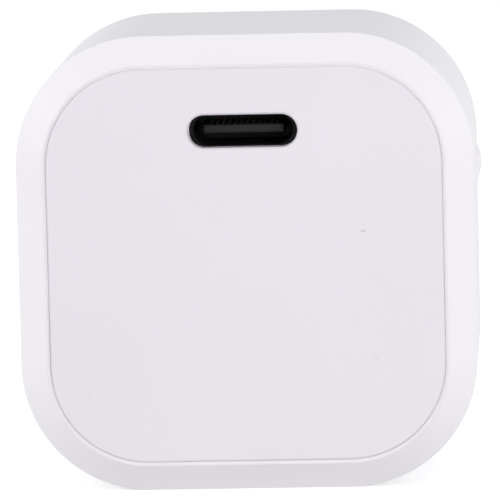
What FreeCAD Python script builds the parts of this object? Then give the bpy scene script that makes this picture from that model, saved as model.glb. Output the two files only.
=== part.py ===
import FreeCAD, Part
import math
import os
import Sketcher

# Compact wall-plug power adapter with one USB-C port and a folding two-blade plug.
# X runs to the right of the port face, Y from the port face to the plug face, Z up.
# The origin lies under the middle of the adapter, on the surface that it stands on.

SIZES = {
    "body_wide": 38.2,
    "body_high": 38.2,
    "body_deep": 28.0,
    "body_corner": 10.7,
    "wall": 2.45,
    "rear_wall": 2.2,
    "bevel_wide": 2.3,
    "bevel_deep": 1.8,
    "rear_round": 3.0,
    "nub_proud": 0.5,
    "nub_high": 2.6,
    "nub_long": 9.0,
    "nub_ramp": 1.6,
    "nub_rise": 7.0,
    "nub_back": 11.5,
    "rib_place": 6.0,
    "rib_wide": 2.0,
    "rib_tall": 1.2,
    "rib_shoulder": 0.8,
    "plate_gap": 0.08,
    "plate_thick": 1.8,
    "plate_edge": 0.2,
    "skirt_wall": 1.2,
    "skirt_deep": 1.2,
    "port_rise": 11.2,
    "port_wide": 9.15,
    "port_high": 2.75,
    "port_edge": 0.15,
    "port_lip": 1.4,
    "collar_wall": 1.0,
    "collar_deep": 2.0,
    "fit_gap": 0.05,
    "usb_wide": 8.94,
    "usb_high": 3.16,
    "usb_long": 7.6,
    "usb_metal": 0.3,
    "tongue_wide": 6.69,
    "tongue_thick": 0.7,
    "tongue_recess": 0.9,
    "tongue_base": 2.4,
    "midplate_thick": 0.15,
    "midplate_inset": 0.3,
    "contact_pitch": 0.5,
    "contact_wide": 0.26,
    "contact_thick": 0.06,
    "contact_long": 3.4,
    "pivot_in": 3.5,
    "pivot_rise": 10.2,
    "blade_gauge": 12.7,
    "blade_thick": 1.5,
    "blade_wide": 6.35,
    "blade_reach": 16.5,
    "blade_neck": 4.0,
    "blade_bevel": 0.4,
    "blade_tip": 1.2,
    "hub_radius": 3.4,
    "hub_long": 18.8,
    "cam_long": 5.2,
    "cam_flat": 2.35,
    "cam_corner": 0.9,
    "axle_radius": 1.5,
    "axle_long": 2.4,
    "swing_gap": 0.15,
    "slot_gap": 0.35,
    "slot_end_gap": 0.4,
    "well_wall": 1.2,
    "scoop_wide": 19.0,
    "scoop_deep": 5.0,
    "scoop_radius": 6.4,
    "scoop_shift": 2.4,
    "scoop_edge": 0.6,
    "bar_thick": 1.6,
    "hood_thick": 0.8,
    "spring_thick": 0.3,
    "spring_wide": 3.2,
    "spring_dimple": 0.1,
    "tail_wide": 2.0,
    "board_thick": 1.2,
    "board_gap": 0.3,
    "board_back_gap": 0.4,
    "solder_tip": 0.8,
    "usb_board_wide": 10.4,
    "usb_board_thick": 1.0,
    "tenon_wide": 7.0,
    "collar_gap": 0.2,
    "contact_tip_gap": 0.8,
    "dimple_radius": 0.8,
    "spring_half": 3.0,
    "leaf_half": 3.2,
    "leaf_crown": 0.25,
    "leaf_ease": 0.3,
    "wall_gap": 0.3,
    "part_gap": 0.3,
    "spreader_thick": 0.4,
    "spreader_high": 10.0,
    "spreader_deep": 13.5,
    "spreader_rise": 7.15,
    "pad_thick": 0.8,
    "pad_wide": 7.0,
    "pad_high": 6.0,
    "transformer_rise": 10.4,
    "core_wide": 13.0,
    "core_high": 8.0,
    "core_deep": 12.0,
    "core_leg": 4.0,
    "core_side": 2.2,
    "core_back": 2.3,
    "bobbin_wall": 0.7,
    "flange_thick": 0.6,
    "flange_lip": 0.4,
    "winding_air": 0.25,
    "winding_corner": 0.6,
    "tape_thick": 0.2,
    "tape_inset": 0.4,
    "sheet_thick": 0.25,
    "sheet_high": 14.0,
    "sheet_deep": 11.0,
    "bulk_radius": 4.0,
    "bulk_long": 14.0,
    "bulk_side": 1.2,
    "bulk_rise": 6.25,
    "bulk_rim": 0.4,
    "filter_wide": 4.5,
    "filter_high": 11.0,
    "filter_deep": 10.0,
    "filter_rise": 8.0,
    "fuse_radius": 1.6,
    "fuse_long": 8.0,
    "choke_side": 4.85,
    "choke_drop": 7.05,
    "choke_inner": 1.6,
    "choke_outer": 3.4,
    "choke_deep": 3.0,
    "choke_wire": 0.5,
    "output_radius": 2.5,
    "output_long": 8.0,
    "output_side": 4.35,
    "output_drop": 0.4,
    "disc_radius": 2.4,
    "disc_thick": 2.0,
    "disc_drop": 6.0,
    "varistor_place": -3.6,
    "chip_thick": 0.9,
    "chip_side": 4.65,
    "chip_rise": -3.5,
    "bridge_wide": 4.8,
    "bridge_high": 4.0,
    "sync_wide": 5.0,
    "sync_high": 6.0,
    "switch_side": 6.0,
    "switch_rise": -2.0,
    "controller_side": 4.0,
    "controller_gap": 0.5,
    "small_wide": 0.8,
    "small_long": 1.6,
    "small_step": 1.4,
}

DOCUMENT = FreeCAD.newDocument("power_adapter")


class Size:
    """A length that carries its number and the formula that the document keeps for it."""

    def __init__(self, number, formula):
        self.number = number
        self.formula = formula

    def merged(self, sign, other, number):
        other = as_size(other)
        return Size(number, "(%s %s %s)" % (self.formula, sign, other.formula))

    def __add__(self, other):
        return self.merged("+", other, self.number + as_size(other).number)

    def __sub__(self, other):
        return self.merged("-", other, self.number - as_size(other).number)

    def __mul__(self, other):
        return self.merged("*", other, self.number * as_size(other).number)

    def __truediv__(self, other):
        return self.merged("/", other, self.number / as_size(other).number)

    def __neg__(self):
        return self * -1

    __radd__ = __add__
    __rmul__ = __mul__


def as_size(value):
    if isinstance(value, Size):
        return value
    return Size(float(value), "(%s)" % value)


def spreadsheet():
    """The driving dimensions, one named cell each."""
    sheet = DOCUMENT.addObject("Spreadsheet::Sheet", "sizes")
    for row, (name, value) in enumerate(SIZES.items(), start=1):
        sheet.set("A%d" % row, name)
        sheet.set("B%d" % row, str(value))
        sheet.setAlias("B%d" % row, name)
    DOCUMENT.recompute()
    return {name: Size(value, "sizes.%s" % name) for name, value in SIZES.items()}


S = spreadsheet()

# Places that several pieces share, measured from the middle of the adapter.
FACE = -S["body_deep"] / 2
REAR = S["body_deep"] / 2
INNER_WIDE = S["body_wide"] - 2 * S["wall"]
INNER_HIGH = S["body_high"] - 2 * S["wall"]
INNER_CORNER = S["body_corner"] - S["wall"]
REAR_INSIDE = REAR - S["rear_wall"]
PLATE_BACK = FACE + S["plate_thick"]
PLATE_STOP = PLATE_BACK + S["skirt_deep"]
PIVOT_Y = REAR - S["pivot_in"]
PIVOT_Z = S["pivot_rise"]
BAY_HALF = S["hub_radius"] + S["swing_gap"]
SLOT_FLOOR = PIVOT_Y - S["blade_wide"] / 2 - S["swing_gap"] - S["fit_gap"]
SLOT_HALF = S["blade_thick"] / 2 + S["slot_gap"]
BLADE_X = S["blade_gauge"] / 2
BLADE_TIP = S["pivot_in"] + S["blade_reach"]
SLOT_END = PIVOT_Z - BLADE_TIP - S["slot_end_gap"] - S["swing_gap"] * 2
CHEEK_IN = S["hub_long"] / 2 + S["swing_gap"]
CHEEK_OUT = CHEEK_IN + S["axle_long"] + S["fit_gap"]
BAR_REAR = PIVOT_Y - S["hub_radius"] - S["spring_thick"] - S["spring_dimple"] * 2
BAR_FRONT = BAR_REAR - S["bar_thick"]
BOARD_REAR = BAR_FRONT - S["board_back_gap"]
BOARD_FRONT = BOARD_REAR - S["board_thick"]
WALLS = (("side", INNER_WIDE / 2), ("level", INNER_HIGH / 2))
USB_FRONT = FACE + S["port_lip"]
USB_BOARD_TOP = S["port_rise"] - S["usb_high"] / 2

# Places of the parts on the main board, measured from the walls that they stand beside.
SIDE = INNER_WIDE / 2
FLOOR = -INNER_HIGH / 2
SPREADER_X = SIDE - S["wall_gap"] - S["spreader_thick"]
CORE_RIGHT = SPREADER_X - S["pad_thick"]
TRANSFORMER_X = CORE_RIGHT - S["core_wide"] / 2
TRANSFORMER_Z = FLOOR + S["transformer_rise"]
WINDOW = (S["core_wide"] - S["core_leg"]) / 2 - S["core_side"]
LINING = S["fit_gap"] + S["bobbin_wall"]
WINDING = WINDOW - LINING - S["tape_thick"] - S["winding_air"]
BULK_X = S["bulk_side"] + S["bulk_radius"] - SIDE
FILTER_LEFT = BULK_X + S["bulk_radius"] + S["part_gap"]
FILTER_X = FILTER_LEFT + S["filter_wide"] / 2
FILTER_Z = FLOOR + S["filter_rise"]
OUTPUT_X = SIDE - S["output_side"]
OUTPUT_Z = S["port_rise"] - S["output_drop"]
DISC_Z = S["port_rise"] - S["disc_drop"]
CHIP_X = SIDE - S["chip_side"]


def bind(item, path, size):
    """Set a property to a size and keep its formula in the document."""
    item.setExpression(path, as_size(size).formula)


def new_body(label, across=None, up=None):
    """An empty body whose own origin is the middle of the adapter, or a place beside it."""
    body = DOCUMENT.addObject("PartDesign::Body", label)
    body.Label = label
    middle = S["body_high"] / 2
    bind(body, "Placement.Base.z", middle if up is None else middle + up)
    if across is not None:
        bind(body, "Placement.Base.x", across)
    return body


def sketch_on(body, name, role, at=None):
    """A sketch on one of the body's origin planes, moved along the axis that crosses it."""
    sketch = body.newObject("Sketcher::SketchObject", name)
    plane = [entry for entry in body.Origin.OriginFeatures if entry.Role == role][0]
    sketch.AttachmentSupport = [(plane, "")]
    sketch.MapMode = "FlatFace"
    if at is not None:
        bind(sketch, "AttachmentOffset.Base.z", -at if role == "XZ_Plane" else at)
    return sketch


def hold(sketch, constraint, size):
    index = sketch.addConstraint(constraint)
    sketch.setExpression("Constraints[%d]" % index, size.formula)


def pin_point(sketch, geometry, point, across, up):
    """Hold one point of a sketch at its distance from the sketch's origin."""
    across = as_size(across)
    up = as_size(up)
    hold(sketch, Sketcher.Constraint("DistanceX", -1, 1, geometry, point, across.number), across)
    hold(sketch, Sketcher.Constraint("DistanceY", -1, 1, geometry, point, up.number), up)


def draw_rectangle(sketch, left, right, low, high):
    """A closed rectangle between four places."""
    left, right, low, high = (as_size(value) for value in (left, right, low, high))
    corners = [(left, low), (right, low), (right, high), (left, high)]
    points = [FreeCAD.Vector(across.number, up.number, 0) for across, up in corners]
    first = sketch.GeometryCount
    for index in range(4):
        sketch.addGeometry(Part.LineSegment(points[index], points[(index + 1) % 4]), False)
    for index in range(4):
        following = first + (index + 1) % 4
        sketch.addConstraint(Sketcher.Constraint("Coincident", first + index, 2, following, 1))
        direction = "Horizontal" if index % 2 == 0 else "Vertical"
        sketch.addConstraint(Sketcher.Constraint(direction, first + index))
    pin_point(sketch, first, 1, left, low)
    pin_point(sketch, first + 2, 1, right, high)


def draw_rounded(sketch, wide, high, corner, middle=0):
    """A closed rectangle with round corners, centred on the sketch's upright axis."""
    wide, high, corner, middle = (as_size(value) for value in (wide, high, corner, middle))
    reach = wide.number / 2
    rise = high.number / 2
    radius = corner.number
    base = FreeCAD.Vector(0, middle.number, 0)
    first = sketch.GeometryCount
    for turn in range(4):
        angle = turn * math.pi / 2
        side = reach if turn % 2 == 0 else rise
        run = (rise if turn % 2 == 0 else reach) - radius
        out = FreeCAD.Vector(math.cos(angle), math.sin(angle), 0)
        along = FreeCAD.Vector(-math.sin(angle), math.cos(angle), 0)
        start = base + out * side - along * run
        end = base + out * side + along * run
        sketch.addGeometry(Part.LineSegment(start, end), False)
        centre = end - out * radius
        circle = Part.Circle(centre, FreeCAD.Vector(0, 0, 1), radius)
        sketch.addGeometry(Part.ArcOfCircle(circle, angle, angle + math.pi / 2), False)
    for index in range(8):
        following = first + (index + 1) % 8
        sketch.addConstraint(Sketcher.Constraint("Tangent", first + index, 2, following, 1))
    for index in range(0, 8, 2):
        direction = "Vertical" if index % 4 == 0 else "Horizontal"
        sketch.addConstraint(Sketcher.Constraint(direction, first + index))
    for index in (3, 5, 7):
        sketch.addConstraint(Sketcher.Constraint("Equal", first + 1, first + index))
    hold(sketch, Sketcher.Constraint("Radius", first + 1, radius), corner)
    right = Sketcher.Constraint("DistanceX", -1, 1, first, 1, reach)
    hold(sketch, right, wide / 2)
    hold(sketch, Sketcher.Constraint("DistanceX", -1, 1, first + 4, 1, -reach), -wide / 2)
    top = middle + high / 2
    bottom = middle - high / 2
    hold(sketch, Sketcher.Constraint("DistanceY", -1, 1, first + 2, 1, top.number), top)
    hold(sketch, Sketcher.Constraint("DistanceY", -1, 1, first + 6, 1, bottom.number), bottom)


def draw_circle(sketch, across, up, radius):
    across, up, radius = (as_size(value) for value in (across, up, radius))
    centre = FreeCAD.Vector(across.number, up.number, 0)
    circle = Part.Circle(centre, FreeCAD.Vector(0, 0, 1), radius.number)
    index = sketch.addGeometry(circle, False)
    hold(sketch, Sketcher.Constraint("Radius", index, radius.number), radius)
    pin_point(sketch, index, 3, across, up)


def extrude(body, kind, name, sketch, length, towards):
    """Pad or pocket a sketch along the axis that crosses it, towards +1 or -1."""
    feature = body.newObject("PartDesign::" + kind, name)
    feature.Profile = sketch
    bind(feature, "Length", length)
    upright = -1 if sketch.AttachmentSupport[0][0].Role == "XZ_Plane" else 1
    natural = upright if kind == "Pad" else -upright
    feature.Reversed = natural != towards
    sketch.Visibility = False
    return feature


def box_feature(body, kind, name, left, right, low, high, front, rear):
    """Pad or pocket one rectangular block between six places."""
    sketch = sketch_on(body, name + "_outline", "XZ_Plane", front)
    draw_rectangle(sketch, left, right, low, high)
    return extrude(body, kind, name, sketch, rear - front, 1)


def picked_edges(feature, wanted):
    """Names of the edges that a test on the edge picks."""
    edges = enumerate(feature.Shape.Edges, start=1)
    return ["Edge%d" % number for number, edge in edges if wanted(edge)]


def soften(body, kind, name, feature, size, wanted):
    """Round or bevel the edges that a test picks, by one size."""
    DOCUMENT.recompute()
    names = picked_edges(feature, wanted)
    result = body.newObject("PartDesign::" + kind, name)
    result.Base = (feature, names)
    bind(result, "Radius" if kind == "Fillet" else "Size", size)
    return result


def lies_at(edge, axis, place):
    """Whether the whole edge lies in the plane at one place on an axis."""
    box = edge.BoundBox
    low = {"x": box.XMin, "y": box.YMin, "z": box.ZMin}[axis]
    high = {"x": box.XMax, "y": box.YMax, "z": box.ZMax}[axis]
    return abs(low - place.number) < 1e-4 and abs(high - place.number) < 1e-4


def runs_along(edge, axis):
    """Whether an edge runs straight along one axis."""
    box = edge.BoundBox
    spans = {"x": box.XLength, "y": box.YLength, "z": box.ZLength}
    return abs(spans[axis] - edge.Length) < 1e-4


def tube_block(body):
    """The outside of the housing: a square tube block, bevelled at the port, round at the plug."""
    outline = sketch_on(body, "tube_outline", "XZ_Plane", FACE)
    draw_rounded(outline, S["body_wide"], S["body_high"], S["body_corner"])
    block = extrude(body, "Pad", "tube", outline, S["body_deep"], 1)
    bevel = soften(body, "Chamfer", "front_bevel", block, S["bevel_deep"],
                   lambda edge: lies_at(edge, "y", FACE))
    bevel.ChamferType = "Two distances"
    bind(bevel, "Size2", S["bevel_wide"])
    return soften(body, "Fillet", "rear_rounding", bevel, S["rear_round"],
                  lambda edge: lies_at(edge, "y", REAR))


def draw_polygon(sketch, corners):
    """A closed outline of straight lines through a few pinned corners."""
    corners = [(as_size(across), as_size(up)) for across, up in corners]
    points = [FreeCAD.Vector(across.number, up.number, 0) for across, up in corners]
    first = sketch.GeometryCount
    total = len(points)
    for index in range(total):
        sketch.addGeometry(Part.LineSegment(points[index], points[(index + 1) % total]), False)
    for index in range(total):
        following = first + (index + 1) % total
        sketch.addConstraint(Sketcher.Constraint("Coincident", first + index, 2, following, 1))
        pin_point(sketch, first + index, 1, *corners[index])


def side_nubs(body):
    """A low rounded grip nub with sloping ends on each side wall."""
    rise = S["nub_high"] / 2
    proud = S["nub_proud"]
    radius = (rise * rise + proud * proud) / (2 * proud)
    wall_face = S["body_wide"] / 2
    bury = wall_face - S["wall"] / 2
    start = FACE + S["nub_back"] - S["nub_long"] / 2
    end = start + S["nub_long"]
    section = sketch_on(body, "nub_section", "XZ_Plane", start)
    draw_dome(section, bury, wall_face + proud - radius, S["nub_rise"], radius)
    nub = extrude(body, "Pad", "grip_nub", section, S["nub_long"], 1)
    crest = wall_face + proud * 2
    cuts = []
    for place, inward, name in ((start, 1, "front"), (end, -1, "rear")):
        slope = sketch_on(body, name + "_slope_outline", "XY_Plane", S["nub_rise"] - rise)
        corners = [(wall_face, place), (crest, place), (crest, place + inward * 2 * S["nub_ramp"])]
        draw_polygon(slope, corners)
        cuts.append(extrude(body, "Pocket", name + "_slope", slope, S["nub_high"], 1))
    twin = body.newObject("PartDesign::Mirrored", "grip_nub_twin")
    twin.Originals = [nub] + cuts
    plane = [entry for entry in body.Origin.OriginFeatures if entry.Role == "YZ_Plane"][0]
    twin.MirrorPlane = (plane, [""])
    body.Tip = twin
    return twin


def draw_dome(sketch, flat, centre, level, radius):
    """A round bar's section, cut off flat by an upright line on its left."""
    flat, centre, level, radius = (as_size(value) for value in (flat, centre, level, radius))
    half = (radius * radius - (flat - centre) * (flat - centre)).number ** 0.5
    low = FreeCAD.Vector(flat.number, level.number - half, 0)
    high = FreeCAD.Vector(flat.number, level.number + half, 0)
    crown = FreeCAD.Vector((centre + radius).number, level.number, 0)
    close_bow(sketch, low, high, crown, flat, centre, level, radius)


def close_bow(sketch, low, high, crown, flat, centre, level, radius):
    """An upright line and the arc that joins its ends over a crown, held by sizes."""
    sketch.addGeometry(Part.LineSegment(low, high), False)
    sketch.addGeometry(Part.Arc(high, crown, low), False)
    top_end = 1 if sketch.Geometry[1].StartPoint.y > level.number else 2
    sketch.addConstraint(Sketcher.Constraint("Coincident", 0, 2, 1, top_end))
    sketch.addConstraint(Sketcher.Constraint("Coincident", 0, 1, 1, 3 - top_end))
    sketch.addConstraint(Sketcher.Constraint("Vertical", 0))
    hold(sketch, Sketcher.Constraint("Radius", 1, radius.number), radius)
    pin_point(sketch, 1, 3, centre, level)
    hold(sketch, Sketcher.Constraint("DistanceX", -1, 1, 0, 1, flat.number), flat)


def draw_stadium(sketch, wide, high, middle=0):
    """A slot with full round ends, lying across, centred on the upright axis."""
    wide, high, middle = (as_size(value) for value in (wide, high, middle))
    radius = high.number / 2
    reach = wide.number / 2 - radius
    level = middle.number
    first = sketch.GeometryCount
    up = FreeCAD.Vector(0, 0, 1)
    vector = FreeCAD.Vector
    low = Part.LineSegment(vector(-reach, level - radius, 0), vector(reach, level - radius, 0))
    top = Part.LineSegment(vector(reach, level + radius, 0), vector(-reach, level + radius, 0))
    right = Part.Circle(vector(reach, level, 0), up, radius)
    left = Part.Circle(vector(-reach, level, 0), up, radius)
    quarter = math.pi / 2
    sketch.addGeometry(low, False)
    sketch.addGeometry(Part.ArcOfCircle(right, -quarter, quarter), False)
    sketch.addGeometry(top, False)
    sketch.addGeometry(Part.ArcOfCircle(left, quarter, 3 * quarter), False)
    for index in range(4):
        following = first + (index + 1) % 4
        sketch.addConstraint(Sketcher.Constraint("Tangent", first + index, 2, following, 1))
    sketch.addConstraint(Sketcher.Constraint("Horizontal", first))
    sketch.addConstraint(Sketcher.Constraint("Equal", first + 1, first + 3))
    hold(sketch, Sketcher.Constraint("Radius", first + 1, radius), high / 2)
    pin_point(sketch, first + 1, 3, wide / 2 - high / 2, middle)
    left_end = Sketcher.Constraint("DistanceX", -1, 1, first + 3, 3, -reach)
    hold(sketch, left_end, high / 2 - wide / 2)


def hollow(body):
    """The inside of the tube, open at the port face."""
    outline = sketch_on(body, "hollow_outline", "XZ_Plane", FACE)
    draw_rounded(outline, INNER_WIDE, INNER_HIGH, INNER_CORNER)
    return extrude(body, "Pocket", "hollow", outline, REAR_INSIDE - FACE, 1)


def on_wall(body, kind, name, wall, foot, top, half, front, rear):
    """A box at the ribs' place on a side wall, or on a level wall, half its width each way."""
    near = S["rib_place"] - half
    far = S["rib_place"] + half
    if wall == "side":
        return box_feature(body, kind, name, foot, top, near, far, front, rear)
    return box_feature(body, kind, name, -far, -near, foot, top, front, rear)


def half_turn(body, name, features):
    """Features copied to the opposite wall, half a turn about the adapter's depth."""
    pair = body.newObject("PartDesign::PolarPattern", name)
    pair.Originals = features
    axis = [entry for entry in body.Origin.OriginFeatures if entry.Role == "Y_Axis"][0]
    pair.Axis = (axis, [""])
    pair.Angle = 360
    pair.Occurrences = 2
    body.Tip = pair
    return pair


def ribs(body):
    """Four ribs that carry the front plate, with wider shoulders that carry the board."""
    rear = REAR_INSIDE + S["rear_wall"] / 2
    half = S["rib_wide"] / 2
    for wall, inner in WALLS:
        foot = inner - S["rib_tall"]
        top = inner + S["wall"] / 2
        rib = on_wall(body, "Pad", wall + "_rib", wall, foot, top, half, PLATE_STOP, rear)
        shoulder = on_wall(body, "Pad", wall + "_shoulder", wall, foot, top,
                           half + S["rib_shoulder"], BOARD_REAR, rear)
        half_turn(body, wall + "_rib_pair", [rib, shoulder])


def scoop_circle(body, name, side, grow):
    """The side view of the finger scoop, as a round bar across the adapter."""
    sketch = sketch_on(body, name, "YZ_Plane", side)
    centre = REAR - S["scoop_deep"] + S["scoop_radius"]
    level = PIVOT_Z - BLADE_TIP + S["scoop_shift"]
    draw_circle(sketch, centre, level, S["scoop_radius"] + grow)
    return sketch


def plug_wells(body):
    """Wells inside the rear wall round the blade slots and the finger scoop, and the cheeks."""
    wall = S["well_wall"]
    root = REAR_INSIDE + S["rear_wall"] / 2
    for side, name in ((-1, "left"), (1, "right")):
        middle = side * BLADE_X
        box_feature(body, "Pad", name + "_well", middle - SLOT_HALF - wall,
                    middle + SLOT_HALF + wall, SLOT_END - wall, PIVOT_Z - BAY_HALF,
                    SLOT_FLOOR - wall, root)
        inner = side * CHEEK_IN
        outer = side * CHEEK_OUT
        first, second = (inner, outer) if side > 0 else (outer, inner)
        box_feature(body, "Pad", name + "_cheek", first, second, PIVOT_Z - BAY_HALF,
                    PIVOT_Z + BAY_HALF, BAR_REAR, root)
    half = S["scoop_wide"] / 2 + wall
    section = sketch_on(body, "scoop_well_outline", "YZ_Plane", -half)
    centre = REAR - S["scoop_deep"] + S["scoop_radius"]
    level = PIVOT_Z - BLADE_TIP + S["scoop_shift"]
    radius = S["scoop_radius"] + wall
    draw_bow(section, centre, level, radius, root)
    return extrude(body, "Pad", "scoop_well", section, half * 2, 1)


def draw_bow(sketch, centre, level, radius, flat):
    """A round bar's section, cut off flat by an upright line on its right."""
    half = (radius * radius - (centre - flat) * (centre - flat)).number ** 0.5
    low = FreeCAD.Vector(flat.number, level.number - half, 0)
    high = FreeCAD.Vector(flat.number, level.number + half, 0)
    crown = FreeCAD.Vector((centre - radius).number, level.number, 0)
    close_bow(sketch, low, high, crown, flat, centre, level, radius)


def plug_openings(body):
    """The bay of the plug's hub, the two blade slots, the finger scoop and the axle seats."""
    bay_half = S["hub_long"] / 2 + S["swing_gap"]
    box_feature(body, "Pocket", "hub_bay", -bay_half, bay_half, PIVOT_Z - BAY_HALF,
                PIVOT_Z + BAY_HALF, SLOT_FLOOR - S["well_wall"], REAR)
    for side, name in ((-1, "left"), (1, "right")):
        middle = side * BLADE_X
        box_feature(body, "Pocket", name + "_slot", middle - SLOT_HALF, middle + SLOT_HALF,
                    SLOT_END, PIVOT_Z - BAY_HALF, SLOT_FLOOR, REAR)
        seat_half = S["axle_radius"] + S["fit_gap"]
        inner = side * CHEEK_IN
        outer = side * CHEEK_OUT
        first, second = (inner, outer) if side > 0 else (outer, inner)
        box_feature(body, "Pocket", name + "_axle_slot", first, second, PIVOT_Z - seat_half,
                    PIVOT_Z + seat_half, BAR_REAR, PIVOT_Y)
        seat = sketch_on(body, name + "_axle_seat_outline", "YZ_Plane", first)
        draw_circle(seat, PIVOT_Y, PIVOT_Z, seat_half)
        extrude(body, "Pocket", name + "_axle_seat", seat, second - first, 1)
    scoop = scoop_circle(body, "scoop_outline", -S["scoop_wide"] / 2, 0)
    cut = extrude(body, "Pocket", "finger_scoop", scoop, S["scoop_wide"], 1)
    return soften(body, "Fillet", "scoop_rounding", cut, S["scoop_edge"], scoop_rim)


def scoop_rim(edge):
    """The scoop's two long edges in the plug face, above and below its middle."""
    offset = edge.BoundBox.ZMax - (PIVOT_Z - BLADE_TIP + S["scoop_shift"]).number
    level = abs(edge.BoundBox.ZLength) < 1e-4
    wide_enough = edge.Length > S["blade_wide"].number
    return lies_at(edge, "y", REAR) and level and wide_enough and abs(offset) < (
        S["scoop_radius"].number)


def make_shell():
    """The housing: one moulded tube, closed at the plug end and open at the port end."""
    body = new_body("shell")
    tube_block(body)
    side_nubs(body)
    hollow(body)
    ribs(body)
    plug_wells(body)
    plug_openings(body)
    return body


def make_front_plate():
    """The inset front plate with the port's slot, a skirt that seats on the ribs and a collar."""
    body = new_body("front_plate")
    outline = sketch_on(body, "plate_outline", "XZ_Plane", FACE)
    gap = S["plate_gap"]
    draw_rounded(outline, INNER_WIDE - 2 * gap, INNER_HIGH - 2 * gap, INNER_CORNER - gap)
    plate = extrude(body, "Pad", "plate", outline, S["plate_thick"] + S["skirt_deep"], 1)
    soften(body, "Chamfer", "plate_edge", plate, S["plate_edge"],
           lambda edge: lies_at(edge, "y", FACE))
    inside = sketch_on(body, "skirt_inside", "XZ_Plane", PLATE_BACK)
    skirt = gap + S["skirt_wall"]
    draw_rounded(inside, INNER_WIDE - 2 * skirt, INNER_HIGH - 2 * skirt, INNER_CORNER - skirt)
    extrude(body, "Pocket", "skirt", inside, S["skirt_deep"], 1)
    collar_outline = sketch_on(body, "collar_outline", "XZ_Plane", PLATE_BACK)
    around = 2 * (S["collar_wall"] + S["fit_gap"])
    draw_stadium(collar_outline, S["usb_wide"] + around, S["usb_high"] + around, S["port_rise"])
    extrude(body, "Pad", "collar", collar_outline, S["collar_deep"], 1)
    seat = sketch_on(body, "socket_seat", "XZ_Plane", USB_FRONT)
    ease = 2 * S["fit_gap"]
    draw_stadium(seat, S["usb_wide"] + ease, S["usb_high"] + ease, S["port_rise"])
    extrude(body, "Pocket", "socket_pocket", seat,
            PLATE_BACK + S["collar_deep"] - USB_FRONT, 1)
    slot = sketch_on(body, "port_outline", "XZ_Plane", FACE)
    draw_stadium(slot, S["port_wide"], S["port_high"], S["port_rise"])
    port = extrude(body, "Pocket", "port", slot, USB_FRONT - FACE, 1)
    soften(body, "Chamfer", "port_edge", port, S["port_edge"], port_rim)
    return body


def port_rim(edge):
    """The edges of the port's slot in the front face."""
    box = edge.BoundBox
    narrow = max(abs(box.XMin), abs(box.XMax)) < S["port_wide"].number / 2 + 0.01
    return lies_at(edge, "y", FACE) and narrow


def make_usb_shell():
    """The receptacle's drawn metal shell, open at the front, with a folded back."""
    body = new_body("usb_shell")
    outline = sketch_on(body, "shell_outline", "XZ_Plane", USB_FRONT)
    draw_stadium(outline, S["usb_wide"], S["usb_high"], S["port_rise"])
    extrude(body, "Pad", "drawn_shell", outline, S["usb_long"], 1)
    inside = sketch_on(body, "shell_inside", "XZ_Plane", USB_FRONT)
    twice = 2 * S["usb_metal"]
    draw_stadium(inside, S["usb_wide"] - twice, S["usb_high"] - twice, S["port_rise"])
    extrude(body, "Pocket", "shell_bore", inside, S["usb_long"], 1)
    return body


def make_usb_tongue():
    """The plastic tongue and the block that fills the back of the receptacle."""
    body = new_body("usb_tongue")
    rear = USB_FRONT + S["usb_long"]
    block = sketch_on(body, "block_outline", "XZ_Plane", rear - S["tongue_base"])
    twice = 2 * S["usb_metal"]
    draw_stadium(block, S["usb_wide"] - twice, S["usb_high"] - twice, S["port_rise"])
    extrude(body, "Pad", "back_block", block, S["tongue_base"], 1)
    half = S["tongue_wide"] / 2
    low = S["port_rise"] - S["tongue_thick"] / 2
    high = S["port_rise"] + S["tongue_thick"] / 2
    tip = USB_FRONT + S["tongue_recess"]
    box_feature(body, "Pad", "tongue", -half, half, low, high, tip, rear - S["tongue_base"])
    thin = S["midplate_thick"] / 2
    box_feature(body, "Pocket", "midplate_slot", -half, half, S["port_rise"] - thin,
                S["port_rise"] + thin, tip + S["midplate_inset"], rear - S["tongue_base"] / 2)
    return body


def make_usb_midplate():
    """The thin steel plate inside the tongue that the plug's latches grip."""
    body = new_body("usb_midplate")
    half = S["tongue_wide"] / 2
    thin = S["midplate_thick"] / 2
    tip = USB_FRONT + S["tongue_recess"] + S["midplate_inset"]
    rear = USB_FRONT + S["usb_long"] - S["tongue_base"] / 2
    box_feature(body, "Pad", "midplate", -half, half, S["port_rise"] - thin,
                S["port_rise"] + thin, tip, rear)
    return body


def make_hub():
    """The plug's hub: two drums, a square detent cam between them and two stub axles."""
    body = new_body("plug_hub")
    half = S["hub_long"] / 2
    axle = sketch_on(body, "axle_outline", "YZ_Plane", -half - S["axle_long"])
    draw_circle(axle, PIVOT_Y, PIVOT_Z, S["axle_radius"])
    extrude(body, "Pad", "axle", axle, 2 * (half + S["axle_long"]), 1)
    cam = sketch_on(body, "cam_outline", "YZ_Plane", -S["cam_long"] / 2)
    draw_square(cam, PIVOT_Y, PIVOT_Z, S["cam_flat"], S["cam_corner"])
    extrude(body, "Pad", "detent_cam", cam, S["cam_long"], 1)
    for start, name in ((-half, "left"), (S["cam_long"] / 2, "right")):
        drum = sketch_on(body, name + "_drum_outline", "YZ_Plane", start)
        draw_circle(drum, PIVOT_Y, PIVOT_Z, S["hub_radius"])
        extrude(body, "Pad", name + "_drum", drum, half - S["cam_long"] / 2, 1)
    for side, name in ((-1, "left"), (1, "right")):
        middle = side * BLADE_X
        box_feature(body, "Pocket", name + "_neck_slot", middle - S["blade_thick"] / 2,
                    middle + S["blade_thick"] / 2, PIVOT_Z - S["hub_radius"],
                    PIVOT_Z + S["hub_radius"] - S["fit_gap"] * 2,
                    PIVOT_Y - S["blade_neck"] / 2, PIVOT_Y + S["blade_neck"] / 2)
    return body


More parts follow.
